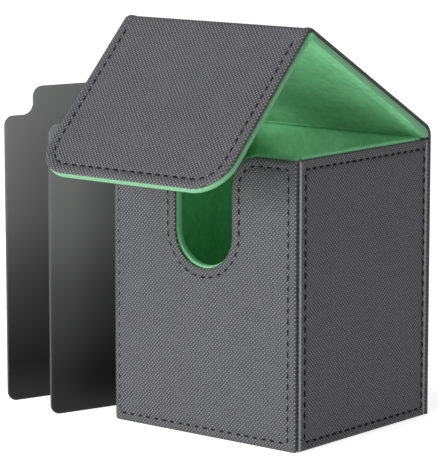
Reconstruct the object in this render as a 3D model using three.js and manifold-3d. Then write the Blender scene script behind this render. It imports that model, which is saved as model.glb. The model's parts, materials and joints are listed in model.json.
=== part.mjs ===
// Card deck box: a stitched, suede-lined tray with a thumb notch, and one strap that runs up
// the tray's back and becomes the lid and the front flap. Two loose card dividers stand beside it.
//
// Millimetres, +Z up, +Y towards the back. The origin is the middle of the tray's underside.
// Every panel is drawn in a flat frame of its own: u and v lie in the panel, and w runs outwards
// from the panel's inner face, through lining, board and cover. Lid and flap are drawn closed,
// then turned to their rest angles by nested groups.
import * as THREE from 'three';
import { mergeVertices } from 'three/addons/utils/BufferGeometryUtils.js';
import Module from 'manifold-3d';

const wasm = await Module();
wasm.setup();

// ---- Driving dimensions, millimetres -------------------------------------------------------
const TRAY_WIDTH = 80;
const TRAY_DEPTH = 73.6;
const TRAY_HEIGHT = 98.9;

const WALL_LEATHER = 1.2;
const WALL_BOARD = 2.1;
const WALL_LINING = 0.9;
const BASE_LEATHER = 1.0;

const STRAP_LEATHER = 1.0;
const STRAP_BOARD = 1.5;
const STRAP_LINING = 0.7;

const NOTCH_WIDTH = 25;
const NOTCH_DEPTH = 40;
const NOTCH_MOUTH_RADIUS = 11;

const FLAP_LENGTH = 68.8;
const FLAP_CORNER_RADIUS = 12.5;
const LID_REST_GAP = 0.2;
const FLAP_REST_GAP = 0.6;

const WEB_RADIUS = 1.0;
const WEB_CLEARANCE = 0.3;
const BOARD_SETBACK = 2.8;

const MAGNET_DIAMETER = 10;
const MAGNET_SPACING = 46;
const MAGNET_ABOVE_FLAP_EDGE = 10;
const MAGNET_CLEARANCE = 0.3;

const SEAM_INSET = 3.4;
const SEAM_WIDTH = 0.5;
const SEAM_HEIGHT = 0.25;

const DIVIDER_THICKNESS = 1.0;
const DIVIDER_SIDE_CLEARANCE = 1.1;
const DIVIDER_SHOULDER_HEIGHT = 103.5;
const DIVIDER_TAB_RISE = 10;
const DIVIDER_TAB_INSET = 11.8;
const DIVIDER_CORNER_RADIUS = 3.5;
const DIVIDER_TAB_RADIUS = 4;
const DIVIDER_STANDOFF = { right: 2.2, left: 28.9 };
const DIVIDER_FRONT_EDGES = { right: -46.6, left: -40.7 };
const DIVIDER_TURN = THREE.MathUtils.degToRad(16.5);

const GLUE = 0.1;
const LID_OPEN = THREE.MathUtils.degToRad(30);
const FLAP_LIFT = THREE.MathUtils.degToRad(14.5);
const ARC_STEPS = 6;

// ---- Sizes that follow from them -----------------------------------------------------------
const HALF_WIDTH = TRAY_WIDTH / 2;
const HALF_DEPTH = TRAY_DEPTH / 2;
const WALL = { lining: WALL_LINING, board: WALL_BOARD, leather: WALL_LEATHER };
const STRAP = { lining: STRAP_LINING, board: STRAP_BOARD, leather: STRAP_LEATHER };
const CORE = WALL_LINING + GLUE + WALL_BOARD;
const WALL_THICKNESS = CORE + GLUE + WALL_LEATHER;
const BASE_THICKNESS = BASE_LEATHER + GLUE + CORE;
const LID_THICKNESS = STRAP_LINING + GLUE + STRAP_BOARD + GLUE + STRAP_LEATHER;
const STRAP_BACK_THICKNESS = GLUE + STRAP_BOARD + GLUE + STRAP_LEATHER;

// The lid turns about the middle of the rear web, whose outside is flush with strap and lid.
const REAR_AXIS = {
  y: HALF_DEPTH + STRAP_BACK_THICKNESS - WEB_RADIUS,
  z: TRAY_HEIGHT + LID_REST_GAP + LID_THICKNESS - WEB_RADIUS,
};
const RIDGE_AXIS = {
  y: -(HALF_DEPTH + FLAP_REST_GAP + LID_THICKNESS - WEB_RADIUS),
  z: REAR_AXIS.z,
};
const LEATHER_SETBACK = WEB_RADIUS + WEB_CLEARANCE;
const FLAP_END = RIDGE_AXIS.z + WEB_RADIUS - FLAP_LENGTH;
const MAGNET_HEIGHT = FLAP_END + MAGNET_ABOVE_FLAP_EDGE;
const BAY_WIDTH = TRAY_WIDTH - 2 * WALL_THICKNESS;
const DIVIDER_WIDTH = BAY_WIDTH - 2 * DIVIDER_SIDE_CLEARANCE;

// ---- Materials -----------------------------------------------------------------------------
const finish = (color, roughness, metalness = 0) =>
  new THREE.MeshStandardMaterial({ color, roughness, metalness });

const MATERIALS = {
  leather: finish(0x5d5a60, 0.62),
  board: finish(0x8a8378, 0.9),
  suede: finish(0x4f9a63, 0.95),
  thread: finish(0x141416, 0.7),
  magnet: finish(0x9a9da1, 0.3, 1),
  plastic: finish(0x26272a, 0.35),
};

// ---- Outlines: each takes how far inside the panel's own edge it runs ------------------------
function roundedOutline({ left, right, bottom, top, lowerRadius = 0 }, inset = 0) {
  const [u0, u1, v0, v1] = [left + inset, right - inset, bottom + inset, top - inset];
  const radius = Math.max(lowerRadius - inset, 0);
  const shape = new THREE.Shape();
  shape.moveTo(u0, v1);
  shape.lineTo(u0, v0 + radius);
  if (radius > 0) shape.absarc(u0 + radius, v0 + radius, radius, Math.PI, 1.5 * Math.PI, false);
  shape.lineTo(u1 - radius, v0);
  if (radius > 0) shape.absarc(u1 - radius, v0 + radius, radius, 1.5 * Math.PI, 2 * Math.PI, false);
  shape.lineTo(u1, v1);
  shape.closePath();
  return shape;
}

// A rectangle with a round-bottomed notch in the middle of its top edge and a rounded mouth.
function notchedOutline({ left, right, bottom, top }, inset = 0) {
  const half = NOTCH_WIDTH / 2;
  const notchCentre = top - NOTCH_DEPTH + half;
  const mouth = NOTCH_MOUTH_RADIUS - inset;
  const mouthCentre = { u: half + NOTCH_MOUTH_RADIUS, v: top - NOTCH_MOUTH_RADIUS };
  const shape = new THREE.Shape();
  shape.moveTo(left + inset, top - inset);
  shape.lineTo(left + inset, bottom + inset);
  shape.lineTo(right - inset, bottom + inset);
  shape.lineTo(right - inset, top - inset);
  shape.lineTo(mouthCentre.u, top - inset);
  shape.absarc(mouthCentre.u, mouthCentre.v, mouth, 0.5 * Math.PI, Math.PI, false);
  shape.lineTo(half + inset, notchCentre);
  shape.absarc(0, notchCentre, half + inset, 0, -Math.PI, true);
  shape.lineTo(-half - inset, mouthCentre.v);
  shape.absarc(-mouthCentre.u, mouthCentre.v, mouth, 0, 0.5 * Math.PI, false);
  shape.closePath();
  return shape;
}

// A card-sized sheet whose top steps up through two soft bends to a tab in the middle.
function dividerOutline() {
  const [corner, bend] = [DIVIDER_CORNER_RADIUS, DIVIDER_TAB_RADIUS];
  const [shoulder, tabTop] = [DIVIDER_SHOULDER_HEIGHT, DIVIDER_SHOULDER_HEIGHT + DIVIDER_TAB_RISE];
  const [tabLeft, tabRight] = [DIVIDER_TAB_INSET, DIVIDER_WIDTH - DIVIDER_TAB_INSET];
  const shape = new THREE.Shape();
  shape.moveTo(0, corner);
  shape.absarc(corner, corner, corner, Math.PI, 1.5 * Math.PI, false);
  shape.absarc(DIVIDER_WIDTH - corner, corner, corner, 1.5 * Math.PI, 2 * Math.PI, false);
  shape.absarc(DIVIDER_WIDTH - corner, shoulder - corner, corner, 0, 0.5 * Math.PI, false);
  shape.absarc(tabRight + bend, shoulder + bend, bend, 1.5 * Math.PI, Math.PI, true);
  shape.absarc(tabRight - bend, tabTop - bend, bend, 0, 0.5 * Math.PI, false);
  shape.absarc(tabLeft + bend, tabTop - bend, bend, 0.5 * Math.PI, Math.PI, false);
  shape.absarc(tabLeft - bend, shoulder + bend, bend, 0, -0.5 * Math.PI, true);
  shape.absarc(corner, shoulder - corner, corner, 0.5 * Math.PI, Math.PI, false);
  shape.closePath();
  return shape;
}

// ---- Solids --------------------------------------------------------------------------------
function plate(shape, from, to) {
  const options = { depth: to - from, bevelEnabled: false, curveSegments: ARC_STEPS };
  return new THREE.ExtrudeGeometry(shape, options).translate(0, 0, from);
}

function disc(diameter, from, to, u, v) {
  const cylinder = new THREE.CylinderGeometry(diameter / 2, diameter / 2, to - from, 32);
  return cylinder.rotateX(Math.PI / 2).translate(u, v, (from + to) / 2);
}

function solid(geometry) {
  const bare = geometry.index ? geometry.toNonIndexed() : geometry.clone();
  bare.deleteAttribute('normal');
  bare.deleteAttribute('uv');
  const merged = mergeVertices(bare, 1e-4);
  const vertProperties = new Float32Array(merged.attributes.position.array);
  const triVerts = new Uint32Array(merged.index.array);
  return new wasm.Manifold(new wasm.Mesh({ numProp: 3, vertProperties, triVerts }));
}

function cut(body, ...tools) {
  const result = tools.reduce((left, tool) => left.subtract(solid(tool)), solid(body));
  const { vertProperties, triVerts } = result.getMesh();
  const geometry = new THREE.BufferGeometry();
  geometry.setAttribute('position', new THREE.BufferAttribute(vertProperties, 3));
  geometry.setIndex(new THREE.BufferAttribute(triVerts, 1));
  return geometry;
}

// ---- Panels --------------------------------------------------------------------------------
// A frame stands the panel's u, v and w on the object's axes; `inner` is where w is 0.
function standingFrame(outward, inner) {
  const upright = new THREE.Vector3(0, 0, 1);
  const across = new THREE.Vector3().crossVectors(upright, outward);
  const frame = new THREE.Matrix4().makeBasis(across, upright, outward);
  return frame.setPosition(outward.clone().multiplyScalar(inner));
}

function lyingFrame(outward, height) {
  const across = new THREE.Vector3(1, 0, 0);
  const along = new THREE.Vector3().crossVectors(outward, across);
  return new THREE.Matrix4().makeBasis(across, along, outward).setPosition(0, 0, height);
}

function mesh(name, geometry, material, frame) {
  const placed = geometry.clone().applyMatrix4(frame);
  const piece = new THREE.Mesh(placed, material);
  piece.name = name;
  return piece;
}

// The cover is a flat sheet glued over the board and the lining's turned edge.
function coverSheet(panel, coreThickness) {
  const start = coreThickness + GLUE;
  return plate(panel.cover(0), start, start + panel.layers.leather);
}

// The lining covers the inner face and turns round the board's edges as a shallow tray.
function liningTray(panel, coreThickness) {
  const { lining } = panel.layers;
  const pocket = plate(panel.core(lining), lining, coreThickness + 1);
  return cut(plate(panel.core(0), 0, coreThickness), pocket);
}

function stiffener(panel, coreThickness, magnets = []) {
  const { lining } = panel.layers;
  const sheet = plate(panel.core(lining + GLUE), lining + GLUE, coreThickness);
  if (magnets.length === 0) return sheet;
  const hole = MAGNET_DIAMETER + 2 * MAGNET_CLEARANCE;
  return cut(sheet, ...magnets.map(({ u, v }) => disc(hole, 0, coreThickness + 1, u, v)));
}

function magnetDisc(panel, { u, v }) {
  const { lining, board } = panel.layers;
  return disc(MAGNET_DIAMETER, lining + GLUE, lining + GLUE + board, u, v);
}

// One run of thread lies on the cover, an even distance inside its edge.
function seamRing(panel, surface) {
  const ring = panel.cover(SEAM_INSET);
  ring.holes.push(panel.cover(SEAM_INSET + SEAM_WIDTH));
  return plate(ring, surface, surface + SEAM_HEIGHT);
}

// The same run, left open along the top edge, where the panel bends into its neighbour.
function seamOpenAtTop(panel, surface) {
  const { left, right, top } = panel.bounds;
  const crossing = { left, right, bottom: top - SEAM_INSET - 2 * SEAM_WIDTH, top };
  return cut(seamRing(panel, surface), plate(roundedOutline(crossing), surface - 1, surface + 1));
}

function panelMeshes(panel) {
  const { name, frame, layers, magnets } = panel;
  const coreThickness = layers.lining + GLUE + layers.board;
  const surface = coreThickness + GLUE + layers.leather;
  const pieces = [
    mesh(`${name}_cover`, coverSheet(panel, coreThickness), MATERIALS.leather, frame),
    mesh(`${name}_board`, stiffener(panel, coreThickness, magnets), MATERIALS.board, frame),
  ];
  if (layers.lining > 0) {
    pieces.push(mesh(`${name}_lining`, liningTray(panel, coreThickness), MATERIALS.suede, frame));
  }
  if (panel.seam) {
    pieces.push(mesh(`${name}_seam`, panel.seam(panel, surface), MATERIALS.thread, frame));
  }
  for (const magnet of magnets ?? []) {
    const piece = magnetDisc(panel, magnet);
    pieces.push(mesh(`${name}_magnet_${magnet.side}`, piece, MATERIALS.magnet, frame));
  }
  return pieces;
}

const rectangle = (bounds) => (inset) => roundedOutline(bounds, inset);
const OUTWARD = {
  front: new THREE.Vector3(0, -1, 0),
  back: new THREE.Vector3(0, 1, 0),
  left: new THREE.Vector3(-1, 0, 0),
  right: new THREE.Vector3(1, 0, 0),
  up: new THREE.Vector3(0, 0, 1),
  down: new THREE.Vector3(0, 0, -1),
};
const MAGNETS = [
  { side: 'left', u: -MAGNET_SPACING / 2, v: MAGNET_HEIGHT },
  { side: 'right', u: MAGNET_SPACING / 2, v: MAGNET_HEIGHT },
];

// ---- The tray ------------------------------------------------------------------------------
const CORE_HALF_WIDTH = HALF_WIDTH - WALL_LEATHER - GLUE;
const CORE_HALF_DEPTH = HALF_DEPTH - WALL_LEATHER - GLUE;
const CORE_BOTTOM = BASE_LEATHER + GLUE;

function frontPanel() {
  const bounds = { left: -HALF_WIDTH, right: HALF_WIDTH, bottom: 0, top: TRAY_HEIGHT };
  const core = {
    left: -CORE_HALF_WIDTH, right: CORE_HALF_WIDTH, bottom: CORE_BOTTOM, top: TRAY_HEIGHT,
  };
  return {
    name: 'front',
    frame: standingFrame(OUTWARD.front, HALF_DEPTH - WALL_THICKNESS),
    layers: WALL,
    bounds,
    cover: (inset) => notchedOutline(bounds, inset),
    core: (inset) => notchedOutline(core, inset),
    magnets: MAGNETS,
    seam: seamRing,
  };
}

// A side wall stands between the front panel's leather and the strap.
function sidePanel(name) {
  const towardsFront = name === 'right' ? 'left' : 'right';
  const bounds = { left: -HALF_DEPTH, right: HALF_DEPTH, bottom: 0, top: TRAY_HEIGHT };
  bounds[towardsFront] *= (HALF_DEPTH - WALL_LEATHER - GLUE) / HALF_DEPTH;
  const coreHalf = HALF_DEPTH - WALL_THICKNESS - GLUE;
  const core = { left: -coreHalf, right: coreHalf, bottom: CORE_BOTTOM, top: TRAY_HEIGHT };
  return {
    name,
    frame: standingFrame(OUTWARD[name], HALF_WIDTH - WALL_THICKNESS),
    layers: WALL,
    bounds,
    cover: rectangle(bounds),
    core: rectangle(core),
    seam: seamRing,
  };
}

function backPanel() {
  const bounds = {
    left: -CORE_HALF_WIDTH, right: CORE_HALF_WIDTH, bottom: 0, top: TRAY_HEIGHT,
  };
  return {
    name: 'back',
    frame: standingFrame(OUTWARD.back, HALF_DEPTH - WALL_THICKNESS),
    layers: WALL,
    bounds,
    cover: rectangle(bounds),
    core: rectangle({ ...bounds, bottom: CORE_BOTTOM }),
  };
}

// The floor: its leather closes the underside, and its board lies between the four walls.
function basePanel() {
  const under = {
    left: -CORE_HALF_WIDTH, right: CORE_HALF_WIDTH, bottom: -CORE_HALF_DEPTH, top: CORE_HALF_DEPTH,
  };
  const inside = {
    left: -BAY_WIDTH / 2 + GLUE,
    right: BAY_WIDTH / 2 - GLUE,
    bottom: -(HALF_DEPTH - WALL_THICKNESS - GLUE),
    top: HALF_DEPTH - WALL_THICKNESS - GLUE,
  };
  return {
    name: 'base',
    frame: lyingFrame(OUTWARD.down, BASE_THICKNESS),
    layers: { ...WALL, leather: BASE_LEATHER },
    bounds: under,
    cover: rectangle(under),
    core: rectangle(inside),
  };
}

// ---- The strap: back, lid and flap -----------------------------------------------------------
const STRAP_SPAN = { left: -HALF_WIDTH, right: HALF_WIDTH };

function strapBackPanel() {
  const bounds = { ...STRAP_SPAN, bottom: 0, top: REAR_AXIS.z - LEATHER_SETBACK };
  const board = {
    left: -HALF_WIDTH + WALL_LEATHER, right: HALF_WIDTH - WALL_LEATHER,
    bottom: WALL_LEATHER, top: TRAY_HEIGHT,
  };
  return {
    name: 'strap_back',
    frame: standingFrame(OUTWARD.back, HALF_DEPTH),
    layers: { lining: 0, board: STRAP_BOARD, leather: STRAP_LEATHER },
    bounds,
    cover: rectangle(bounds),
    core: rectangle(board),
    seam: seamOpenAtTop,
  };
}

function lidPanel() {
  const between = (setback) => ({
    ...STRAP_SPAN, bottom: RIDGE_AXIS.y + setback, top: REAR_AXIS.y - setback,
  });
  return {
    name: 'lid',
    frame: lyingFrame(OUTWARD.up, TRAY_HEIGHT + LID_REST_GAP),
    layers: STRAP,
    bounds: between(LEATHER_SETBACK),
    cover: rectangle(between(LEATHER_SETBACK)),
    core: rectangle(between(BOARD_SETBACK)),
  };
}

function flapPanel() {
  const below = (setback) => ({
    ...STRAP_SPAN,
    bottom: FLAP_END,
    top: RIDGE_AXIS.z - setback,
    lowerRadius: FLAP_CORNER_RADIUS,
  });
  return {
    name: 'flap',
    frame: standingFrame(OUTWARD.front, HALF_DEPTH + FLAP_REST_GAP),
    layers: STRAP,
    bounds: below(LEATHER_SETBACK),
    cover: rectangle(below(LEATHER_SETBACK)),
    core: rectangle(below(BOARD_SETBACK)),
    magnets: MAGNETS,
    seam: seamOpenAtTop,
  };
}

// Two straight runs of thread along the lid's sides, from web to web.
function lidSeams(panel) {
  const surface = LID_THICKNESS;
  const { bottom, top } = panel.bounds;
  return ['left', 'right'].map((side) => {
    const sign = side === 'left' ? -1 : 1;
    const run = new THREE.BoxGeometry(SEAM_WIDTH, top - bottom, SEAM_HEIGHT);
    const u = sign * (HALF_WIDTH - SEAM_INSET - SEAM_WIDTH / 2);
    run.translate(u, (top + bottom) / 2, surface + SEAM_HEIGHT / 2);
    return mesh(`lid_seam_${side}`, run, MATERIALS.thread, panel.frame);
  });
}

// The web is the leather and suede between two boards, drawn as a round roll on the hinge axis.
function hingeWeb(name, axis) {
  const length = TRAY_WIDTH - 2 * WEB_RADIUS;
  const roll = new THREE.CylinderGeometry(WEB_RADIUS, WEB_RADIUS, length, 16);
  roll.rotateZ(Math.PI / 2).translate(0, axis.y, axis.z);
  return mesh(name, roll, MATERIALS.leather, new THREE.Matrix4());
}

// Turns closed-pose pieces about a line along X through `axis`.
function turnedAbout(axis, angle, pieces) {
  const pivot = new THREE.Group();
  pivot.position.set(0, axis.y, axis.z);
  pivot.rotation.x = -angle;
  const contents = new THREE.Group();
  contents.position.set(0, -axis.y, -axis.z);
  contents.add(...pieces);
  pivot.add(contents);
  return pivot;
}

// ---- The dividers ----------------------------------------------------------------------------
// `standoff` is how far the divider's back edge stands from the tray's left side.
function divider(name, standoff, frontEdge) {
  const sheet = plate(dividerOutline(), -DIVIDER_THICKNESS / 2, DIVIDER_THICKNESS / 2);
  const frame = standingFrame(OUTWARD.right, 0);
  const piece = mesh(name, sheet, MATERIALS.plastic, frame);
  const reach = DIVIDER_WIDTH * Math.sin(DIVIDER_TURN);
  piece.position.set(-HALF_WIDTH - standoff - reach, frontEdge, 0);
  piece.rotation.z = -DIVIDER_TURN;
  return piece;
}

// ---- Assembly --------------------------------------------------------------------------------
const box = new THREE.Group();
for (const panel of [
  frontPanel(), sidePanel('left'), sidePanel('right'), backPanel(), basePanel(), strapBackPanel(),
]) {
  box.add(...panelMeshes(panel));
}
box.add(hingeWeb('rear_hinge_web', REAR_AXIS));

const flap = turnedAbout(RIDGE_AXIS, FLAP_LIFT, panelMeshes(flapPanel()));
const lid = lidPanel();
const lidPieces = [...panelMeshes(lid), ...lidSeams(lid), hingeWeb('ridge_hinge_web', RIDGE_AXIS)];
box.add(turnedAbout(REAR_AXIS, LID_OPEN, [...lidPieces, flap]));

for (const side of ['left', 'right']) {
  box.add(divider(`${side}_divider`, DIVIDER_STANDOFF[side], DIVIDER_FRONT_EDGES[side]));
}

export default box;
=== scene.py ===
"""A card deck box with its lid raised: a stitched leather tray lined with green suede, one strap
that is its back, lid and flap, and two loose card dividers beside it.

Metres, in the part's own frame. Each sheet is worked flat, as u across, v along and w outwards,
and then placed: on a wall of the tray, or along the strap's bent path."""

import json
import math

import bpy
import numpy as np
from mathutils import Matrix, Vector


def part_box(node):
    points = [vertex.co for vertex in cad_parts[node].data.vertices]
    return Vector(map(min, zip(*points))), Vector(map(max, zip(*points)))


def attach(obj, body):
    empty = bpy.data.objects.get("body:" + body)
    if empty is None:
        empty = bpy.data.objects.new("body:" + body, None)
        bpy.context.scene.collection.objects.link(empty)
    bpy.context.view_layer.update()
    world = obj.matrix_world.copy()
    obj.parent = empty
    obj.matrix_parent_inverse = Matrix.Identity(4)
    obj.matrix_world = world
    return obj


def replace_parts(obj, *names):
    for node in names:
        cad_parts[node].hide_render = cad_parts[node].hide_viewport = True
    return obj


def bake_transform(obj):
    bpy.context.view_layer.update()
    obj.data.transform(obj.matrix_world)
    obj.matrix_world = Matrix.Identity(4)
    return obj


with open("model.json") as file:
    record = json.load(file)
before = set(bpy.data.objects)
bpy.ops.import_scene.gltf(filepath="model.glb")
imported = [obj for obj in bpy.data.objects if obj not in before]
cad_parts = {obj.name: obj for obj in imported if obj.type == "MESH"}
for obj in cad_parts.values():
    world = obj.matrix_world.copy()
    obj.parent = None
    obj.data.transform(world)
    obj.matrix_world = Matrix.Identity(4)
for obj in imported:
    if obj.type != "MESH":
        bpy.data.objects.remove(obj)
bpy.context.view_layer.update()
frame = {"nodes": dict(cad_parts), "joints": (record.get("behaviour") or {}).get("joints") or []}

MM = 0.001

# ---- Sizes of the work -----------------------------------------------------------------------
# The spacing of points along an edge, and along a seam while its pull is worked out, and how many
# points are measured against a seam at a time.
SAMPLE = 0.6 * MM
SEAM_SAMPLE = 0.3 * MM
BLOCK = 3000

# Leather and suede are worked as a profile this far in from the edge, where a flat face takes over.
BAND = 8 * MM
EDGE_BEAD = 0.26 * MM
# How far a square corner is nipped in, and how far from the corner that fades.
CORNER_NIP = 0.18 * MM
NIP_REACH = 0.7 * MM
# A turned edge takes its painted edge colour up to the first inset, and none from the second.
EDGE_PAINT_FROM, EDGE_PAINT_TO = 0.45 * MM, 0.75 * MM
# The welt on each upright edge of a side wall.
WELT_RISE = 0.55 * MM
WELT_HALF = 0.5 * MM

# Thread to edge on the strap, and on each wall: u's low and high side, the foot and the top.
SEAM_INSET = 3.65 * MM
SEAM_MARGINS = {
    "front": np.array([2.1, 3.4, 2.8, 3.1]) * MM,
    "right": np.array([3.6, 1.3, 2.8, 3.3]) * MM,
    "left": np.array([1.3, 3.6, 2.8, 3.3]) * MM,
}
# The bell that thread pulls into leather: its depth, its width, and the share of the depth that
# swings, most at the needle holes and least under the stitches.
SEAM_GROOVE = 0.42 * MM
SEAM_SPREAD = 0.8 * MM
HOLE_SHARE = 0.28

STITCH_PITCH = 3.65 * MM
STITCH_LENGTH = 2.6 * MM
STITCH_BOW = 0.16 * MM
STITCH_DIVE = 0.42 * MM
# Spreads, over the stitches of a run, of their lean in radians and of their length as a share.
STITCH_LEAN = 0.045
LENGTH_SPREAD = 0.03
# Thread's thickness, the share of it that is gone at a stitch's ends, and its height to its width.
THREAD = 0.78 * MM
THREAD_THINNING = 0.75
THREAD_FLATNESS = 0.8
THREAD_SUNK = 0.3 * MM

NOTCH_WIDTH = 25 * MM
NOTCH_DEPTH = 40 * MM
NOTCH_MOUTH_RADIUS = 11 * MM
FLAP_CORNER_RADIUS = 12.5 * MM

# A sewn wall's leather stops this far below the top of its suede, and a side wall's leather this
# far behind the front wall, which leaves a dark line down the corner.
SUEDE_SHOWING = 0.7 * MM
SIDE_GAP = 0.35 * MM
SUEDE_ROUND = 0.85 * MM
LINING_THICKNESS = 0.9 * MM
# How strongly painted shade darkens and greys a lining's turned edge: most on the front wall.
FRONT_EDGE_SHADE, WALL_EDGE_SHADE = 0.7, 0.15

STRAP_LEATHER = 1.0 * MM
BOARD_WRAP = 1.55 * MM
FOOT_ROUND = 0.5 * MM
REAR_BEND_RADIUS = 5.5 * MM
RIDGE_BEND_RADIUS = 3.0 * MM
# Heights from the strap's outer face: the suede's outer side, and its own face over a board, over
# the bare ridge and at the rear crease.
LINING_OUTSIDE = -1.1 * MM
LINING_INSIDE = -3.4 * MM
WEB_INSIDE = -1.8 * MM
CREASE_INSIDE = -4.6 * MM
# The crease's depth fades out along this reach. Past each side of the ridge the suede stays thin
# for the margin, and slopes up to the board along the slope.
CREASE_REACH = 12 * MM
RIDGE_MARGIN = 0.8 * MM
RIDGE_SLOPE = 1.6 * MM
# The leather's turned edge shows through the suede as a faint welt.
TRACE_INSET = 4.6 * MM
TRACE_SPREAD = 1.0 * MM
TRACE_DEPTH = 0.22 * MM

DIVIDER_TURN = math.radians(16.5)
DIVIDER_THICKNESS = 1.0 * MM
DIVIDER_EDGE_ROUND = 0.18 * MM
DIVIDER_BAND = 1.0 * MM
DIVIDER_CORNER_RADIUS = 3.5 * MM
DIVIDER_TAB_RADIUS = 4 * MM
DIVIDER_TAB_RISE = 10 * MM
DIVIDER_TAB_INSET = 11.8 * MM
# The plastic's painted shade, darkest at the foot, fades out up to here.
PAINTED_SHADE_HEIGHT = 114 * MM


# ---- Shader writing --------------------------------------------------------------------------
def paired(operation):
    """An operator and its reflected form, each writing one Math node."""

    def forward(self, other):
        return self.maths(operation, self, other)

    def reflected(self, other):
        return self.maths(operation, other, self)

    return forward, reflected


class Value:
    """A number that varies over a surface. Arithmetic on it writes Math nodes."""

    def __init__(self, finish, socket):
        self.finish, self.socket = finish, socket

    def maths(self, operation, *values):
        inputs = dict(enumerate(values))
        return self.finish.node("ShaderNodeMath", {"operation": operation}, inputs)

    __add__, __radd__ = paired("ADD")
    __sub__, __rsub__ = paired("SUBTRACT")
    __mul__, __rmul__ = paired("MULTIPLY")
    __truediv__, __rtruediv__ = paired("DIVIDE")

    def cosine(self):
        return self.maths("COSINE", self)

    def ramp(self, low, high):
        """0 up to low, 1 from high, and a smooth step between."""
        settings = {"interpolation_type": "SMOOTHSTEP"}
        return self.finish.node("ShaderNodeMapRange", settings, {"Value": self, 1: low, 2: high})


class Finish:
    """One material: a Principled shader and the nodes that feed it."""

    def __init__(self, name, **constants):
        self.material = bpy.data.materials.new(name)
        self.material.use_nodes = True
        self.nodes = self.material.node_tree.nodes
        self.links = self.material.node_tree.links
        self.shader = self.nodes["Principled BSDF"]
        for setting, value in constants.items():
            self.shader.inputs[setting.replace("_", " ")].default_value = value

    def node(self, kind, settings=None, inputs=None, output=0):
        """Adds a node, makes its settings, joins or fills its sockets, and gives one output."""
        node = self.nodes.new(kind)
        for name, value in (settings or {}).items():
            if name == "stops":
                self.fill_ramp(node.color_ramp.elements, value)
            else:
                setattr(node, name, value)
        for name, value in (inputs or {}).items():
            self.feed(node.inputs[name], value)
        return Value(self, node.outputs[output])

    def fill_ramp(self, elements, stops):
        """Gives a new ramp's two elements over to a list of places and colours."""
        elements.remove(elements[1])
        elements[0].position, elements[0].color = stops[0]
        for position, colour in stops[1:]:
            elements.new(position).color = colour

    def feed(self, socket, value):
        """Joins a socket to a value that varies, or sets it to one that doesn't."""
        if isinstance(value, Value):
            self.links.new(value.socket, socket)
        else:
            socket.default_value = value

    def shade(self, **inputs):
        """Feeds the shader and gives the finished material."""
        for name, value in inputs.items():
            self.feed(self.shader.inputs[name.replace("_", " ")], value)
        return self.material

    def place(self):
        """Where a point is, in the piece's own frame."""
        return self.node("ShaderNodeTexCoord", output="Object")

    def axes(self, where):
        """The three numbers of a place."""
        first = self.node("ShaderNodeSeparateXYZ", {}, {0: where})
        return [Value(self, socket) for socket in first.socket.node.outputs]

    def rim(self):
        """1 along the edges of a sheet that take its painted edge colour, as kept on its mesh, and
        0 elsewhere.
        """
        return self.node("ShaderNodeAttribute", {"attribute_name": "rim"}, output=2)

    def noise(self, where, scale, detail=2.0, roughness=0.5):
        inputs = {"Vector": where, "Scale": scale, "Detail": detail, "Roughness": roughness}
        return self.node("ShaderNodeTexNoise", {}, inputs)

    def mix(self, share, low, high):
        """A colour between two, by share."""
        settings = {"data_type": "RGBA"}
        return self.node("ShaderNodeMix", settings, {0: share, 6: low, 7: high}, output=2)

    def bump(self, height, distance, strength=1.0):
        inputs = {"Height": height, "Distance": distance, "Strength": strength}
        return self.node("ShaderNodeBump", {}, inputs)


def shade_of(red, green, blue):
    """A colour from its 0 to 255 display values, as linear light."""
    share = np.array([red, green, blue]) / 255
    linear = np.where(share <= 0.04045, share / 12.92, ((share + 0.055) / 1.055) ** 2.4)
    return (*linear.tolist(), 1.0)


def woven_leather():
    """Embossed leather: raised dots on a lattice of 1 mm, set on the diagonal, over fine grain,
    deeper in some patches than in others, and paler along the side walls' welts as a painted
    highlight. The dots are the product of two cosines of the sheet's own u and v."""
    # The third colour is a painted highlight, laid along the welts on the side walls' upright
    # edges.
    dark, pale, painted_edge_light = shade_of(31, 31, 33), shade_of(104, 104, 108), shade_of(120, 120, 122)
    finish = Finish("woven_leather", Specular_IOR_Level=0.35)
    flat = finish.node("ShaderNodeUVMap", {"uv_map": "flat"})
    u, v, _ = finish.axes(flat)
    turn = 2 * math.pi * 0.707 / MM
    drift = (finish.noise(flat, 900.0) - 0.5) * 1.1
    dots = ((u * turn + drift).cosine() * (v * turn + drift).cosine()).ramp(-0.1, 0.8)
    cloud = finish.noise(finish.place(), 45.0, 3.0)
    grain = finish.noise(flat, 2600.0)
    depth = finish.noise(flat, 170.0) * 0.9 + 0.35
    light = (dots - 0.35) * depth + grain * 0.22 + cloud * 0.08 + 0.19
    return finish.shade(
        Base_Color=finish.mix(finish.rim(), finish.mix(light, dark, pale), painted_edge_light),
        Roughness=0.62 - dots * 0.14 + cloud * 0.06,
        Normal=finish.bump(dots + grain * 0.25, 0.16 * MM),
    )


def green_suede():
    """Brushed suede: a short nap that lies in soft patches, lighter and darker by its lean, with
    painted shade, a darker and greyer green, on its turned edges."""
    # The third colour is painted shade for the turned edges, darker and greyer than the suede.
    dark, pale, painted_edge_light = shade_of(94, 168, 116), shade_of(138, 211, 157), shade_of(97, 141, 108)
    finish = Finish(
        "green_suede", Sheen_Weight=0.12, Sheen_Roughness=0.6, Sheen_Tint=shade_of(150, 215, 165),
        Specular_IOR_Level=0.1,
    )
    where = finish.place()
    patches = finish.noise(where, 60.0, 4.0, 0.6)
    brushed = finish.noise(where, 420.0, 3.0, 0.6)
    nap = finish.noise(where, 2600.0, 3.0, 0.7)
    share = (patches * 0.7 + brushed * 0.5 + nap * 0.3 - 0.25).ramp(0.1, 0.9)
    return finish.shade(
        Base_Color=finish.mix(finish.rim(), finish.mix(share, dark, pale), painted_edge_light),
        Roughness=0.9 + nap * 0.08,
        Normal=finish.bump(brushed * 0.6 + nap, 0.12 * MM, 0.55),
    )


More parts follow.
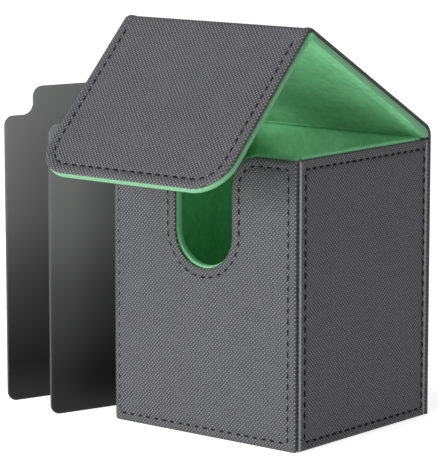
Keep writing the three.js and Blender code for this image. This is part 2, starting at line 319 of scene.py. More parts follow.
def black_thread():
    """Waxed thread, with the light catching its plies."""
    finish = Finish("black_thread", Specular_IOR_Level=0.15)
    plies = finish.noise(finish.place(), 2200.0)
    return finish.shade(
        Base_Color=finish.mix(plies, shade_of(3, 3, 4), shade_of(16, 16, 18)),
        Roughness=0.7 + plies * 0.2,
        Normal=finish.bump(plies, 0.08 * MM, 0.6),
    )


def shade_ramped_plastic():
    """Smooth satin sheet with painted shade: darker towards its foot, by a ramp over the height,
    and dark along its cut edge. It has faint handling marks and a fine moulded tooth."""
    finish = Finish("shade_ramped_plastic", Specular_IOR_Level=0.35)
    where = finish.place()
    height = finish.axes(where)[2] / PAINTED_SHADE_HEIGHT
    # Painted shade: the greys darken from the top down to the foot.
    greys = ((0.0, 6), (0.12, 17), (0.4, 63), (0.6, 94), (0.95, 113))
    stops = [(place, shade_of(grey, grey, grey)) for place, grey in greys]
    haze = finish.noise(where, 30.0, 3.0)
    tooth = finish.noise(where, 3500.0)
    tone = finish.node("ShaderNodeValToRGB", {"stops": stops}, {0: height + haze * 0.02 - 0.01})
    # The cut edge is painted dark, as shade over the edge that the key lamp lights.
    return finish.shade(
        Base_Color=finish.mix(finish.rim(), tone, shade_of(44, 44, 44)),
        Roughness=0.42 + haze * 0.08,
        Normal=finish.bump(tooth, 0.02 * MM, 0.25),
    )


def grey_board():
    """Pressed greyboard: flecks of darker fibre in a dull ground."""
    finish = Finish("grey_board", Specular_IOR_Level=0.2)
    fibre = finish.noise(finish.place(), 700.0, 4.0, 0.7)
    return finish.shade(
        Base_Color=finish.mix(fibre, shade_of(104, 98, 90), shade_of(154, 147, 136)),
        Roughness=0.86 + fibre * 0.1,
        Normal=finish.bump(fibre, 0.1 * MM, 0.4),
    )


def nickel():
    """Plated magnet: bright metal with a light tumble finish."""
    finish = Finish("nickel", Metallic=1.0)
    tumble = finish.noise(finish.place(), 1500.0, 3.0)
    return finish.shade(
        Base_Color=finish.mix(tumble, shade_of(170, 170, 172), shade_of(205, 205, 206)),
        Roughness=0.22 + tumble * 0.16,
        Normal=finish.bump(tumble, 0.02 * MM, 0.3),
    )


def pale_floor():
    """Studio paper that glows a little, so that it stays white to its far end."""
    finish = Finish(
        "pale_floor", Specular_IOR_Level=0.1, Roughness=0.8, Emission_Strength=0.54,
        Emission_Color=(1, 1, 1, 1),
    )
    tone = finish.noise(finish.place(), 3.0)
    return finish.shade(Base_Color=finish.mix(tone, (0.86, 0.86, 0.86, 1), (0.9, 0.9, 0.9, 1)))


LEATHER = woven_leather()
SUEDE = green_suede()
THREAD_BLACK = black_thread()
PLASTIC = shade_ramped_plastic()
BOARD = grey_board()
NICKEL = nickel()


# ---- Putting a surface into a mesh -------------------------------------------------------------
def enclosed(points, faces):
    """Six times the volume the faces enclose, from a fan of triangles on each face."""
    total = 0.0
    for face in faces:
        corner = points[np.asarray(face)]
        if corner.ndim == 3:
            for step in range(1, corner.shape[1] - 1):
                a, b, c = corner[:, 0], corner[:, step], corner[:, step + 1]
                total += np.einsum("ij,ij->", a, np.cross(b, c))
        else:
            fan = np.cross(corner[1:-1], corner[2:])
            total += (fan @ corner[0]).sum()
    return total


def make_piece(name, points, quads, caps, flat, material, rim=None):
    """A closed mesh from one array of quads and a few many-sided caps, turned outwards. The caps
    listed as hard are shaded flat, the sheet's own u and v are kept as its UV map, and how far
    each point takes the painted edge colour, highlight on leather and shade on suede and plastic,
    as its rim."""
    groups = [quads, *[cap for cap, _ in caps]]
    turned = enclosed(points, groups) < 0
    faces = [face[::-1] if turned else face for face in quads.tolist()]
    smooth = [True] * len(faces)
    for cap, hard in caps:
        faces.append(list(cap[::-1] if turned else cap))
        smooth.append(not hard)
    mesh = bpy.data.meshes.new(name)
    mesh.from_pydata(points.tolist(), [], faces)
    mesh.polygons.foreach_set("use_smooth", smooth)
    if flat is not None:
        index = np.zeros(len(mesh.loops), np.int32)
        mesh.loops.foreach_get("vertex_index", index)
        layer = mesh.uv_layers.new(name="flat")
        layer.data.foreach_set("uv", flat[index].astype(np.float32).ravel())
    if rim is not None:
        marks = mesh.attributes.new("rim", "FLOAT", "POINT")
        marks.data.foreach_set("value", np.asarray(rim, np.float32).ravel())
    mesh.materials.append(material)
    mesh.update()
    piece = bpy.data.objects.new(name, mesh)
    bpy.context.scene.collection.objects.link(piece)
    return piece


def quads_between(index, wrap_rows=False, wrap_columns=False):
    """The four corners of each cell of a grid of vertex numbers, closed round where asked."""
    if wrap_rows:
        index = np.vstack([index, index[:1]])
    if wrap_columns:
        index = np.hstack([index, index[:, :1]])
    corners = [index[:-1, :-1], index[:-1, 1:], index[1:, 1:], index[1:, :-1]]
    return np.stack(corners, -1).reshape(-1, 4)


# ---- Outlines ----------------------------------------------------------------------------------
# An outline is its edge points, anticlockwise, and for each the way it moves as the outline runs
# further inside the sheet: edge + inset * way.
def edge_steps(length):
    """How many steps a straight edge is worked in."""
    return max(3, round(length / SAMPLE))


def arc_steps(turn, radius):
    """How many steps a round stretch is worked in."""
    return max(6, round(abs(turn) * radius / SAMPLE))


def edge(start, end, mitred=(True, True)):
    """A straight edge. Its points move square inwards, and towards the middle near a mitred end,
    where the corner is also nipped in a little."""
    start, end = np.array(start, float), np.array(end, float)
    length = np.linalg.norm(end - start)
    share = np.linspace(0, 1, edge_steps(length) + 1)[:-1, None]
    along = (end - start) / length
    inward = np.array([-along[1], along[0]])
    way = inward + along * (mitred[0] * (1 - share) - mitred[1] * share)
    nip = mitred[0] * np.exp(-share * length / NIP_REACH)
    nip = nip + mitred[1] * np.exp(-(1 - share) * length / NIP_REACH)
    return start + share * (end - start) + way * nip * CORNER_NIP, way


def arc(centre, radius, start, end):
    """Part of a circle, from one angle to another: inwards is towards its centre if it turns
    anticlockwise, and away from it if not."""
    angle = np.linspace(start, end, arc_steps(end - start, radius) + 1)[:-1]
    outward = np.stack([np.cos(angle), np.sin(angle)], 1)
    return np.array(centre) + radius * outward, -outward * np.sign(end - start)


def joined(*parts):
    """One outline from its stretches, each a pair of points and ways."""
    return np.vstack([points for points, _ in parts]), np.vstack([way for _, way in parts])


def rectangle(u0, u1, v0, v1, _inset=0.0):
    """A plain rectangle. It takes an inset only so that it can stand in for notched."""
    return joined(
        edge((u0, v0), (u1, v0)), edge((u1, v0), (u1, v1)),
        edge((u1, v1), (u0, v1)), edge((u0, v1), (u0, v0)),
    )


def notched(u0, u1, v0, v1, inset=0.0):
    """A rectangle whose top edge opens into a round-bottomed notch with a rounded mouth. The
    inset is how far inside the real notch this one runs, and its top edge with it."""
    half, mouth = NOTCH_WIDTH / 2 + inset, NOTCH_MOUTH_RADIUS - inset
    middle = v1 + inset - NOTCH_DEPTH + NOTCH_WIDTH / 2
    right, left = (half + mouth, v1 - mouth), (-half - mouth, v1 - mouth)
    quarter = math.pi / 2
    return joined(
        edge((u0, v0), (u1, v0)),
        edge((u1, v0), (u1, v1)),
        edge((u1, v1), (right[0], v1), (True, False)),
        arc(right, mouth, quarter, 2 * quarter),
        edge((half, right[1]), (half, middle), (False, False)),
        arc((0, middle), half, 0, -2 * quarter),
        edge((-half, middle), (-half, left[1]), (False, False)),
        arc(left, mouth, 0, quarter),
        edge((left[0], v1), (u0, v1), (False, True)),
        edge((u0, v1), (u0, v0)),
    )


def inside(outline, inset):
    """The outline's points, moved that far in."""
    points, way = outline
    return points + inset * way


def distance_along(line):
    """How far along a line of points each one is, and the line's whole length."""
    steps = np.linalg.norm(np.diff(line, axis=0), axis=1)
    reached = np.concatenate([[0], np.cumsum(steps)])
    return reached, reached[-1]


def on_line(line, at):
    """The points at those distances along a line."""
    reached, _ = distance_along(line)
    return np.stack([np.interp(at, reached, line[:, axis]) for axis in (0, 1)], 1)


def closed(outline):
    """An outline's own points, back round to the first."""
    points = outline[0]
    return np.vstack([points, points[:1]])


def seam_dip(flat, line):
    """How deep thread along a line pulls each point in, from 0 to 1: a bell of the distance to
    the line, deepest at the needle holes between stitches."""
    _, whole = distance_along(line)
    pitch = whole / round(whole / STITCH_PITCH)
    at = np.linspace(0, whole, round(whole / SEAM_SAMPLE))
    dense = on_line(line, at)
    dip = np.zeros(len(flat))
    for block in np.array_split(np.arange(len(flat)), len(flat) // BLOCK + 1):
        apart = np.linalg.norm(flat[block, None] - dense[None], axis=2)
        nearest = apart.argmin(1)
        hole = 1 - HOLE_SHARE + HOLE_SHARE * np.cos(2 * math.pi * at[nearest] / pitch)
        dip[block] = hole * np.exp(-((apart.min(1) / SEAM_SPREAD) ** 2))
    return dip


def smooth_step(value, low, high):
    """0 up to low, 1 from high, and a smooth rise between."""
    share = np.clip((value - low) / (high - low), 0, 1)
    return share * share * (3 - 2 * share)


def at_edge(inset):
    """1 on a sheet's edge, falling to 0 just inside its face."""
    return 1 - smooth_step(inset, EDGE_PAINT_FROM, EDGE_PAINT_TO)


# ---- Profiles: how far inside the edge, and how high, a section runs ---------------------------
def turned_edge(thickness, bead=EDGE_BEAD):
    """Leather's edge: from underneath, round a half circle, over a soft bead and down to the
    flat. Gives inset, height above the flat, and 1 where thread may pull it in."""
    radius = thickness / 2
    angle = np.linspace(-math.pi / 2, math.pi / 2, 9)
    under = np.array([BAND, 3.0 * MM, 1.15 * MM])
    over = np.array([
        0.75, 0.9, 1.1, 1.3, 1.5, 1.7, 2.1, 2.5, 2.8, 3.1, 3.4, 3.65, 3.9, 4.2, 4.5, 4.9, 5.5, 6.5,
    ])
    over = np.append(over * MM, BAND)
    inset = np.concatenate([under, radius - radius * np.cos(angle), over])
    height = np.concatenate([under * 0 - thickness, radius * np.sin(angle) - radius, over * 0])
    top = np.arange(len(inset)) >= len(under) + len(angle)
    share = np.clip((inset - radius) / (SEAM_INSET - radius), 0, 1)
    # The power puts the bead's crest nearer the edge than the seam.
    height = height + top * bead * np.sin(math.pi * share ** 0.65)
    return inset, height, top


def wrapped_edge(depth, pocket):
    """Suede turned round a board: from the face round two soft corners to the far side, and
    back inside as the pocket that holds the board. Height runs from the face, outwards. Gives
    inset, height, and 0 everywhere, because no thread pulls it in."""
    soft = SUEDE_ROUND
    angle = np.linspace(0, math.pi / 2, 6)
    inset = np.concatenate([
        [BAND, 2.2 * MM], soft - soft * np.sin(angle), soft - soft * np.cos(angle),
        [pocket, pocket, BAND],
    ])
    height = np.concatenate([
        [0, 0], soft - soft * np.cos(angle), depth - soft + soft * np.sin(angle),
        [depth, pocket, pocket],
    ])
    return inset, height, inset * 0


# ---- Sheets on the tray's walls ----------------------------------------------------------------
FACING = {
    "front": np.array([[1, 0, 0], [0, 0, 1], [0, -1, 0]], float),
    "back": np.array([[-1, 0, 0], [0, 0, 1], [0, 1, 0]], float),
    "right": np.array([[0, 1, 0], [0, 0, 1], [1, 0, 0]], float),
    "left": np.array([[0, -1, 0], [0, 0, 1], [-1, 0, 0]], float),
    "down": np.array([[1, 0, 0], [0, -1, 0], [0, 0, -1]], float),
}


def span(node, facing):
    """A node's box as u, v and w limits on a wall that faces that way."""
    lowest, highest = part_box(node)
    corners = np.array([lowest, highest]) @ FACING[facing].T
    return corners.min(0), corners.max(0)


def on_wall(facing):
    """Places u, v and w on a wall that faces that way."""
    return lambda flat: flat @ FACING[facing]


def welt(u):
    """How far the leather stands out along a wall's two upright edges: half an ellipse."""
    apart = np.minimum(u - u.min(), u.max() - u)
    return WELT_RISE * np.sqrt(np.clip(1 - (apart / WELT_HALF - 1) ** 2, 0, 1))


def ringed_piece(name, placed, flat, material, rim):
    """Points in rings, one ring for each step of a profile, with a flat face inside each end."""
    index = np.arange(len(placed)).reshape(flat.shape[:2])
    caps = [(index[:, 0].tolist(), False), (index[::-1, -1].tolist(), False)]
    quads = quads_between(index, wrap_rows=True)
    return make_piece(name, placed, quads, caps, flat.reshape(-1, 2), material, rim)


def ringed_sheet(
    name, outline, profile, height, facing, material, seam=None, welted=False, painted_edge_light=0.0
):
    """The profile carried round a closed outline, and pulled in along a seam. Leather takes a
    painted highlight on its welts, and suede painted shade on its edge."""
    inset, rise, top = profile
    points, way = outline
    flat = points[:, None] + inset[None, :, None] * way[:, None]
    w = np.broadcast_to(height + rise, flat.shape[:2]).copy()
    # Painted shade on a suede's turned edge, as strong as the share given; leather is given none.
    rim = np.broadcast_to(at_edge(inset) * painted_edge_light, w.shape)
    if welted:
        raised = welt(flat[..., 0]) * (1 - rise / rise.min())
        # The welt takes the leather's painted highlight, as strongly as it stands out.
        w, rim = w + raised, raised / WELT_RISE
    if seam is not None:
        dip = seam_dip(flat[:, top].reshape(-1, 2), seam)
        w[:, top] -= SEAM_GROOVE * dip.reshape(len(points), -1)
    placed = on_wall(facing)(np.dstack([flat, w]).reshape(-1, 3))
    return ringed_piece(name, placed, flat, material, rim)


def stitches(name, line, height, place, body, seed):
    """Thread along a line: each stitch is a short rod that thins at its ends, bowed so that it
    rises from one needle hole and goes down the next, and leans a little from its neighbours."""
    chance = np.random.default_rng(seed)
    _, whole = distance_along(line)
    count = round(whole / STITCH_PITCH)
    centre_at = (np.arange(count) + 0.5) * whole / count
    reach = STITCH_LENGTH / 2
    heading = on_line(line, centre_at + reach) - on_line(line, centre_at - reach)
    heading = heading / np.linalg.norm(heading, axis=1)[:, None]
    lean = chance.normal(0, STITCH_LEAN, count)
    heading = heading + lean[:, None] * heading[:, ::-1] * [-1, 1]
    side = heading[:, ::-1] * [-1, 1]
    along = np.linspace(-1, 1, 7)
    around = np.arange(6) / 6 * 2 * math.pi
    thickness = THREAD / 2 * (1 - THREAD_THINNING * along ** 4)
    bow = STITCH_BOW - STITCH_DIVE * along ** 2
    ahead = (along * reach)[None, :, None]
    aside = (thickness[:, None] * np.cos(around))[None]
    above = (bow[:, None] + thickness[:, None] * np.sin(around) * THREAD_FLATNESS)[None]
    length = chance.normal(1, LENGTH_SPREAD, count)[:, None, None]
    centre = on_line(line, centre_at)
    flat = [
        centre[:, axis, None, None] + ahead * length * heading[:, axis, None, None]
        + aside * side[:, axis, None, None] for axis in (0, 1)
    ]
    w = height + np.broadcast_to(above, flat[0].shape)
    points = place(np.stack([*flat, w], -1).reshape(-1, 3))
    index = np.arange(len(points)).reshape(count, len(along), len(around))
    ring = np.concatenate([index, index[:, :, :1]], 2)
    corners = [ring[:, :-1, :-1], ring[:, :-1, 1:], ring[:, 1:, 1:], ring[:, 1:, :-1]]
    quads = np.stack(corners, -1).reshape(-1, 4)
    ends = [(row, True) for row in index[:, 0, ::-1].tolist()]
    ends += [(row, True) for row in index[:, -1].tolist()]
    piece = make_piece(name, points, quads, ends, None, THREAD_BLACK)
    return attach(piece, body)


def leather_wall(name, facing, shape, seed=None):
    """A wall's leather with its rolled edge and, where it is sewn, the ring of thread."""
    low, high = span(f"{name}_cover", facing)
    low[0] += SIDE_GAP * (facing == "right")
    high[0] -= SIDE_GAP * (facing == "left")
    sewn, welted, line = seed is not None, facing in ("left", "right"), None
    bounds = np.array([low[0], high[0], low[1], high[1] - SUEDE_SHOWING * sewn])
    if sewn:
        margins = SEAM_MARGINS[name]
        line = closed(shape(*(bounds + margins * [1, -1, 1, -1]), margins[3]))
        height = high[2] - THREAD_SUNK
        thread = stitches(f"{name}_stitches", line, height, on_wall(facing), "tray", seed)
        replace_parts(thread, f"{name}_seam")
    profile = turned_edge(high[2] - low[2], EDGE_BEAD * (sewn and not welted))
    cover = ringed_sheet(
        f"{name}_leather", shape(*bounds), profile, high[2], facing, LEATHER, line,
        welted,
    )
    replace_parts(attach(cover, "tray"), f"{name}_cover")


def lined_wall(name, facing, shape, painted_edge_light=WALL_EDGE_SHADE):
    """Suede over a board, turned round the board's edges, with painted shade on them."""
    low, high = span(f"{name}_lining", facing)
    outline = shape(low[0], high[0], low[1], high[1])
    profile = wrapped_edge(high[2] - low[2], LINING_THICKNESS)
    lining = ringed_sheet(
        f"{name}_suede", outline, profile, low[2], facing, SUEDE, painted_edge_light=painted_edge_light
    )
    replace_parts(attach(lining, "tray"), f"{name}_lining")


# ---- The strap's path --------------------------------------------------------------------------
def joint(name):
    """A joint of the frame, by its name."""
    return next(j for j in frame["joints"] if j["name"] == name)


def joint_point(name):
    """Where a hinge's line crosses the middle plane, as y and z."""
    return np.array(joint(name)["pos_m"][1:])


def turned(direction, angle):
    """A direction in the middle plane, turned from the back over the top towards the front."""
    c, s = math.cos(angle), math.sin(angle)
    y, z = direction
    return np.array([c * y - s * z, s * y + c * z])


REAR = joint_point("lid_hinge")
RIDGE = joint_point("flap_hinge")
LID_OPEN = -math.radians(joint("lid_hinge")["range_deg"][0])
FLAP_OPEN = -math.radians(joint("flap_hinge")["range_deg"][0])
UP = np.array([0.0, 1.0])
LID_WAY = turned(UP, math.pi / 2 - LID_OPEN)
FLAP_WAY = turned(UP, math.pi - LID_OPEN - FLAP_OPEN)


def outward_of(way):
    """Square to a direction of travel, on the strap's outer side."""
    return np.array([way[1], -way[0]])


def reach_of(node, way):
    """How far a node's vertices go along a direction in the middle plane."""
    points = np.array([v.co for v in frame["nodes"][node].data.vertices])
    along = points[:, 1:] @ way
    return along.min(), along.max()


def crossing(point_a, way_a, point_b, way_b):
    """Where two lines in the middle plane meet."""
    solved = np.linalg.solve(np.array([way_a, -way_b]).T, point_b - point_a)
    return point_a + solved[0] * way_a


class StrapPath:
    """The strap's outer face in the middle plane: straight up the back, round the rear bend,
    along the lid, round the ridge and down the flap. v is the length along it."""

    def __init__(self):
        back_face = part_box("strap_back_cover")[1].y
        start = np.array([back_face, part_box("strap_back_cover")[0].z])
        lid_face = reach_of("lid_cover", outward_of(LID_WAY))[1]
        flap_face = reach_of("flap_cover", outward_of(FLAP_WAY))[1]
        on_lid = REAR + outward_of(LID_WAY) * (lid_face - REAR @ outward_of(LID_WAY))
        on_flap = RIDGE + outward_of(FLAP_WAY) * (flap_face - RIDGE @ outward_of(FLAP_WAY))
        rear_corner = crossing(start, UP, on_lid, LID_WAY)
        ridge_corner = crossing(on_lid, LID_WAY, on_flap, FLAP_WAY)
        end = on_flap + FLAP_WAY * (reach_of("flap_cover", FLAP_WAY)[1] - on_flap @ FLAP_WAY)
        self.parts, self.length = [], 0.0
        here = start
        bends = [(rear_corner, UP, LID_WAY, REAR_BEND_RADIUS),
                 (ridge_corner, LID_WAY, FLAP_WAY, RIDGE_BEND_RADIUS)]
        self.bend_limits = []
        for corner, way, next_way, radius in bends:
            angle = math.acos(way @ next_way)
            cut = radius * math.tan(angle / 2)
            self.straight(here, way, np.linalg.norm(corner - way * cut - here))
            first = self.length
            self.parts.append((first, angle * radius, corner - way * cut, way, radius))
            self.length += angle * radius
            self.bend_limits.append((first, self.length))
            here = corner + next_way * cut
        self.straight(here, FLAP_WAY, np.linalg.norm(end - here))

    def straight(self, start, way, length):
        """Adds a straight stretch to the path."""
        self.parts.append((self.length, length, start, way, None))
        self.length += length

    def at(self, flat):
        """Places points given as u, v and w: v picks the place on the path, and w goes square
        outwards from it."""
        u, v, w = flat.T
        y, z = np.zeros_like(v), np.zeros_like(v)
        for number, (first, length, start, way, radius) in enumerate(self.parts):
            here = (v >= first) if number else np.ones_like(v, bool)
            if number < len(self.parts) - 1:
                here &= v < first + length
            along, out = (v - first)[here], outward_of(way)
            if radius is None:
                place = start + along[:, None] * way + w[here, None] * out
            else:
                angle = along / radius
                centre = start - out * radius
                spoke = np.cos(angle)[:, None] * out + np.sin(angle)[:, None] * way
                place = centre + (radius + w[here])[:, None] * spoke
            y[here], z[here] = place.T
        return np.stack([-u, y, z], 1)

    def point(self, v):
        """The place at that length along the path, in the middle of the outer face."""
        return tuple(self.at(np.array([[0.0, v, 0.0]]))[0])


STRAP = StrapPath()
(REAR_START, REAR_END), (RIDGE_START, RIDGE_END) = STRAP.bend_limits
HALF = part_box("lid_cover")[1].x
# Where the lid's leather and suede meet the flap's, and where each run of thread starts and ends.
MEETING = RIDGE_START - 3 * MM
SEWN_BACK = (SEAM_INSET, REAR_START - 3 * MM)
SEWN_LID = (REAR_END + 2 * MM, RIDGE_START - 4 * MM)
SEWN_FLAP = RIDGE_END + 4 * MM


def back_seam():
    """The thread's line down one side of the strap's back, along its foot and up again."""
    top, side = SEWN_BACK[1], HALF - SEAM_INSET
    corners = [(-side, top), (-side, SEAM_INSET), (side, SEAM_INSET), (side, top)]
    steps = [edge(a, b, (False, False))[0] for a, b in zip(corners, corners[1:])]
    return np.vstack([*steps, [corners[-1]]])


def lid_seam(sign):
    """The thread's line along one side of the lid."""
    return np.array([(sign * (HALF - SEAM_INSET), v) for v in SEWN_LID])


def mirrored(values):
    """A section's values from one side in to its middle, and out again to the other side."""
    return np.concatenate([values, values[::-1]])


def swept(name, u, v, w, material, rim=None):
    """A closed section carried along the strap. Each row of the grid is the section at one v."""
    points = STRAP.at(np.stack([u, v, w], -1).reshape(-1, 3))
    index = np.arange(len(points)).reshape(u.shape)
    caps = [(index[0, ::-1].tolist(), True), (index[-1].tolist(), True)]
    quads = quads_between(index, wrap_columns=True)
    flat = np.stack([u, v], -1).reshape(-1, 2)
    return make_piece(name, points, quads, caps, flat, material, rim)


def back_and_lid_leather():
    """The strap's leather from the foot of the back to just behind the ridge. At each v its
    section is the turned edge, the flat, and the turned edge again, closed underneath."""
    inset, rise, top = turned_edge(STRAP_LEATHER)
    rows = np.linspace(0, MEETING, round(MEETING / SAMPLE) + 1)
    rows = np.concatenate([[0, 0.12 * MM, 0.3 * MM], rows[1:]])
    across = np.concatenate([inset - HALF, (HALF - inset)[::-1]])
    rise, top, within = mirrored(rise), mirrored(top), mirrored(inset)
    v, u = np.meshgrid(rows, across, indexing="ij")
    flat = np.stack([u, v], -1)[:, top].reshape(-1, 2)
    dips = [seam_dip(flat, line) for line in (back_seam(), lid_seam(1), lid_seam(-1))]
    w = np.broadcast_to(rise, v.shape).copy()
    w[:, top] -= SEAM_GROOVE * np.maximum.reduce(dips).reshape(len(rows), -1)
    # Up the back the turned edge goes deeper, over the edge of the board.
    wrapped = 1 - smooth_step(v, REAR_START - 1.2 * MM, REAR_START - 0.2 * MM)
    half = STRAP_LEATHER / 2
    fold = np.clip(-rise[None] - half, 0, 1) * (within < MM)[None]
    w = w - wrapped * fold * BOARD_WRAP / half
    # The foot is rounded: its half thickness grows as a quarter circle.
    to_foot = 1 - np.clip(v / FOOT_ROUND, 0, 1)
    w = -half + (w + half) * np.sqrt(1 - to_foot ** 2 * 0.98)
    piece = swept("strap_leather", u, v, w, LEATHER)
    STRAP.point(REAR_START)
    STRAP.point(REAR_END)
    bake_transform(piece)
    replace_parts(piece, "strap_back_cover", "lid_cover", "rear_hinge_web")


def filled(ring, rows):
    """A patch inside a U of points: its two sides, of that many rows, and its foot are the U, its
    head is a straight line, and every inside point blends the four edges."""
    left, right = ring[: rows + 1], ring[::-1][: rows + 1]
    foot = ring[rows: len(ring) - rows]
    x = np.linspace(0, 1, len(foot))[None, :, None]
    y = np.linspace(0, 1, rows + 1)[:, None, None]
    head = left[0] + x[0] * (right[0] - left[0])
    sides = (1 - x) * left[:, None] + x * right[:, None]
    ends = (1 - y) * head[None] + y * foot[None]
    head_corners = (1 - x) * head[0] + x * head[-1]
    foot_corners = (1 - x) * foot[0] + x * foot[-1]
    return sides + ends - ((1 - y) * head_corners + y * foot_corners)


def flap_outline(start):
    """The flap's two sides and its rounded foot, from the meeting line and back to it."""
    radius, end = FLAP_CORNER_RADIUS, STRAP.length
    left = (radius - HALF, end - radius)
    right = (HALF - radius, end - radius)
    quarter = math.pi / 2
    points, way = joined(
        edge((HALF, start), (HALF, right[1]), (False, False)),
        arc(right, radius, 0, quarter),
        edge((right[0], end), (left[0], end), (False, False)),
        arc(left, radius, quarter, 2 * quarter),
        edge((-HALF, left[1]), (-HALF, start), (False, False)),
    )
    return np.vstack([points, [[-HALF, start]]]), np.vstack([way, [[1.0, 0.0]]])


def flap_shell(name, profile, material, height_of, start):
    """The profile carried round the flap's U, a patch inside each end of it, and the cut head.
    Suede takes painted shade on its edge."""
    inset, level, marked = profile
    points, way = flap_outline(start)
    ring = points[:, None] + inset[None, :, None] * way[:, None]
    count, columns = ring.shape[:2]
    side = edge_steps(STRAP.length - FLAP_CORNER_RADIUS - start)
    rows = side + arc_steps(math.pi / 2, FLAP_CORNER_RADIUS) // 2
    index = np.arange(count * columns).reshape(count, columns)
    flat, levels, marks = [ring.reshape(-1, 2)], [np.tile(level, count)], [np.tile(marked, count)]
    rim = [np.tile(at_edge(inset), count)]
    quads, heads, used = [quads_between(index)], [], count * columns
    for column in (0, columns - 1):
        patch = filled(ring[:, column], rows)
        inner = patch[:-1, 1:-1]
        size = inner.shape[0] * inner.shape[1]
        numbers = np.zeros(patch.shape[:2], int)
        numbers[:, 0] = index[: rows + 1, column]
        numbers[:, -1] = index[::-1, column][: rows + 1]
        numbers[-1] = index[rows: count - rows, column]
        numbers[:-1, 1:-1] = used + np.arange(size).reshape(inner.shape[:2])
        used += size
        flat.append(inner.reshape(-1, 2))
        levels.append(np.full(size, level[column]))
        marks.append(np.zeros(size))
        rim.append(np.zeros(size))
        cells = quads_between(numbers)
        quads.append(cells if column else cells[:, ::-1])
        heads.append(numbers[0, 1:-1])
    flat, levels, marks = np.vstack(flat), np.concatenate(levels), np.concatenate(marks)
    w = height_of(flat, levels, marks)
    placed = STRAP.at(np.column_stack([flat, w]))
    head = [*index[0][::-1], *heads[0], *index[-1], *heads[1][::-1]]
    caps = [([int(n) for n in head], True)]
    # Painted shade on the suede's edge; none on the leather.
    rim = np.concatenate(rim) * (material is SUEDE)
    return make_piece(name, placed, np.vstack(quads), caps, flat, material, rim)


def flap_seam():
    """The thread's line round the flap, from the ridge down, across and back up."""
    return inside(flap_outline(SEWN_FLAP), SEAM_INSET)


def flap_leather():
    """The strap's leather over the ridge and down the flap, to its rounded foot."""

    def height_of(flat, levels, marks):
        top = marks > 0
        w = levels.copy()
        w[top] -= SEAM_GROOVE * seam_dip(flat[top], flap_seam())
        return w

    piece = flap_shell(
        "flap_leather", turned_edge(STRAP_LEATHER), LEATHER, height_of, MEETING
    )
    STRAP.point(RIDGE_START)
    STRAP.point(RIDGE_END)
    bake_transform(piece)
    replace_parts(piece, "flap_cover", "ridge_hinge_web")


def lining_floor(v):
    """How high the suede's own face is, from the strap's outer face: deep over a board, close
    to the leather at the ridge, and deepest at the rear crease."""
    start, end = RIDGE_START - RIDGE_MARGIN, RIDGE_END + RIDGE_MARGIN
    board = 1 - smooth_step(v, start - RIDGE_SLOPE, start)
    board = board + smooth_step(v, end, end + RIDGE_SLOPE)
    crease = 1 - smooth_step(v, REAR_END, REAR_END + CREASE_REACH)
    floor = WEB_INSIDE + (LINING_INSIDE - WEB_INSIDE) * board
    return floor + (CREASE_INSIDE - LINING_INSIDE) * crease


def suede_edge():
    """The strap's suede, turned round its boards: level 0 is its outer side, next to the leather,
    and level 1 its face. Gives inset, level, and how strongly the leather's turned edge shows
    through, from the outer side round to the face."""
    soft = SUEDE_ROUND
    angle = np.linspace(0, math.pi / 2, 6)
    share = soft / (LINING_OUTSIDE - LINING_INSIDE)
    over = np.array([1.2, 1.8, 2.4, 3.0, 3.6, 4.2, 4.6, 5.0, 5.5, 6.3])
    over = np.append(over * MM, BAND)
    inset = np.concatenate([
        [BAND, 2 * MM], soft - soft * np.sin(angle), soft - soft * np.cos(angle), over,
    ])
    level = np.concatenate([
        [0, 0], share - share * np.cos(angle), 1 - share + share * np.sin(angle), over * 0 + 1,
    ])
    face = np.arange(len(inset)) >= len(inset) - len(over)
    return inset, level, face * np.exp(-(((inset - TRACE_INSET) / TRACE_SPREAD) ** 2))


def suede_height(v, level, trace):
    """The suede's height at a level. Its face rises in a faint welt over the leather's edge."""
    return LINING_OUTSIDE + (lining_floor(v) - LINING_OUTSIDE) * level - TRACE_DEPTH * trace


def lid_suede():
    """The lid's suede, from the top of the tray's back, up the rear bend and on to the ridge."""
    inset, level, trace = suede_edge()
    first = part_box("strap_back_board")[1].z + 0.05 * MM
    rows = np.linspace(first, MEETING, round((MEETING - first) / SAMPLE) + 1)
    across = np.concatenate([inset - HALF, (HALF - inset)[::-1]])
    v, u = np.meshgrid(rows, across, indexing="ij")
    w = suede_height(v, mirrored(level)[None], mirrored(trace)[None])
    # Painted shade along both turned edges of the lid's suede.
    rim = np.broadcast_to(at_edge(mirrored(inset)), u.shape)
    piece = swept("lid_suede", u, v, w, SUEDE, rim)
    STRAP.point(REAR_START)
    STRAP.point(REAR_END)
    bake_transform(piece)
    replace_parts(piece, "lid_lining")


def flap_suede():
    """The flap's suede, from just behind the ridge to the rounded foot."""

    def height_of(flat, levels, traces):
        return suede_height(flat[:, 1], levels, traces)

    piece = flap_shell("flap_suede", suede_edge(), SUEDE, height_of, MEETING)
    STRAP.point(RIDGE_START)
    STRAP.point(RIDGE_END)
    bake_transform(piece)
    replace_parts(piece, "flap_lining")


def strap_stitches():
    """Thread round the strap's back, along both sides of the lid and round the flap."""
    sunk = -THREAD_SUNK
    thread = stitches("strap_back_stitches", back_seam(), sunk, STRAP.at, "tray", 21)
    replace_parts(thread, "strap_back_seam")
    for side, sign in (("left", 1), ("right", -1)):
        name = f"lid_stitches_{side}"
        thread = stitches(name, lid_seam(sign), sunk, STRAP.at, "lid", 22 + sign)
        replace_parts(thread, f"lid_seam_{side}")
    thread = stitches("flap_stitches", flap_seam(), sunk, STRAP.at, "flap", 25)
    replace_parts(thread, "flap_seam")


